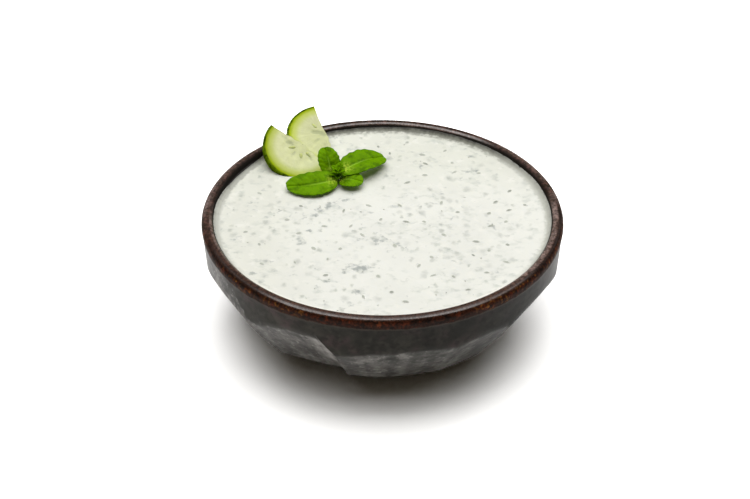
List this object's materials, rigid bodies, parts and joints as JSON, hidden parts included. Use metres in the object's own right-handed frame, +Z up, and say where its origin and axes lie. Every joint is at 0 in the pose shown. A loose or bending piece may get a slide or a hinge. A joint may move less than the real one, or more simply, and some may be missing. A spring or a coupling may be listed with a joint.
{
  "type": "tzatziki dip in a bowl",
  "caption": "Yoghurt and cucumber dip with herb flecks in a round carved stoneware bowl, topped with half slices of cucumber and a sprig of mint.",
  "frame": {"origin": "middle of the bowl's foot ring, on the surface that it stands on", "axes": "+Z up through the bowl's opening, -Y towards the front, with the garnish at the back left"},
  "size_m": [0.17, 0.17, 0.0705],
  "materials": {
    "glaze": "gloss",
    "dip": "satin",
    "cucumber": "wet",
    "mint_stem": "satin",
    "mint_leaf": "satin"
  },
  "bodies": {
    "root": {"bowl": "glaze", "tzatziki": "dip", "cucumber_slice_front": "cucumber", "cucumber_slice_back": "cucumber", "mint_stem": "mint_stem", "mint_leaf_left": "mint_leaf", "mint_leaf_right": "mint_leaf", "mint_leaf_back": "mint_leaf", "mint_leaf_front": "mint_leaf"}
  },
  "joints": []
}
